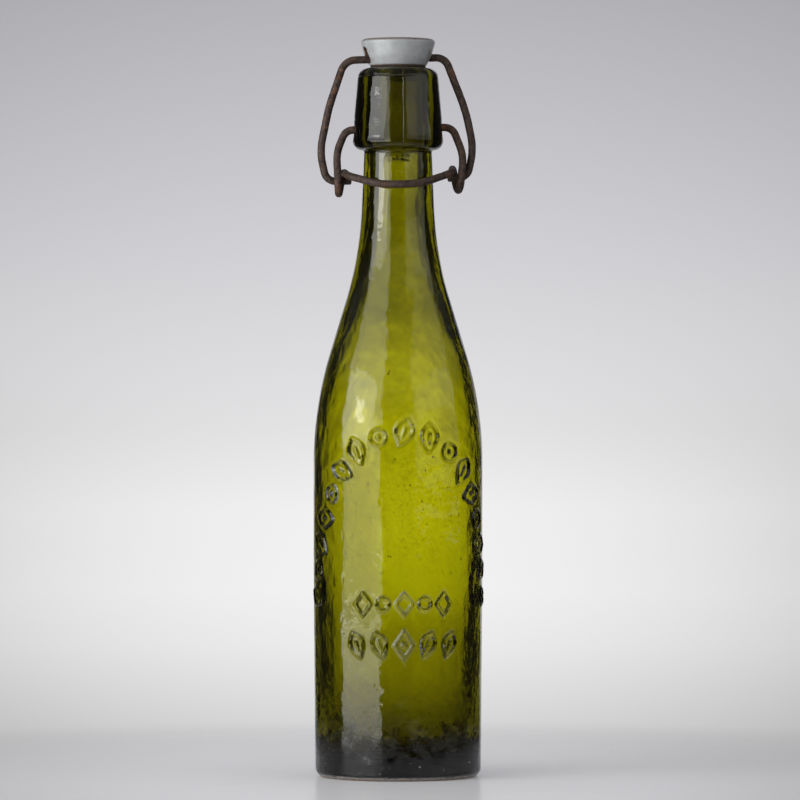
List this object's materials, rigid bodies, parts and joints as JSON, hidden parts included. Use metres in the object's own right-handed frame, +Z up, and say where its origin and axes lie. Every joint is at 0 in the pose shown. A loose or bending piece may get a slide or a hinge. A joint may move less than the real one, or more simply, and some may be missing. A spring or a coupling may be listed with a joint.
{
  "type": "swing top bottle",
  "caption": "Old olive green glass beer bottle with a tapered collar, closed by a porcelain stopper on a hinged wire bail and lever.",
  "frame": {"origin": "middle of the base, on the plane the bottle stands on", "axes": "+Z up along the bottle, +X to the right pivot, -Y to the front, where the lever's bar crosses the neck"},
  "size_m": [0.06, 0.06, 0.2618],
  "materials": {
    "bottle_glass": "olive green glass, lightly hazed and scuffed",
    "porcelain": "greyish white glaze, rust stained at the bore",
    "rubber": "perished dark brown rubber",
    "wire": "dark brown rusted steel wire"
  },
  "bodies": {
    "bottle": {"bottle": "bottle_glass"},
    "lever": {"lever_wire": "wire"},
    "bail": {"bail_wire": "wire"},
    "stopper": {"stopper": "porcelain", "rubber_washer": "rubber"}
  },
  "joints": [
    {"name": "lever_swing", "type": "hinge", "parent": "bottle", "child": "lever", "pos_m": [0, 0, 0.2298], "axis": [-0.9995, 0, -0.0314], "range_deg": [0, 100]},
    {"name": "bail_swing", "type": "hinge", "parent": "lever", "child": "bail", "pos_m": [0, 0.001, 0.2118], "axis": [-0.9995, 0, -0.0314], "range_deg": [-60, 0]},
    {"name": "stopper_tilt", "type": "hinge", "parent": "bail", "child": "stopper", "pos_m": [0, 0, 0.2546], "axis": [-0.9995, 0, -0.0314], "range_deg": [-40, 0]}
  ],
  "couplings": [
    {"joint": "bail_swing", "follows": "lever_swing", "ratio": -0.6},
    {"joint": "stopper_tilt", "follows": "lever_swing", "ratio": -0.4}
  ]
}
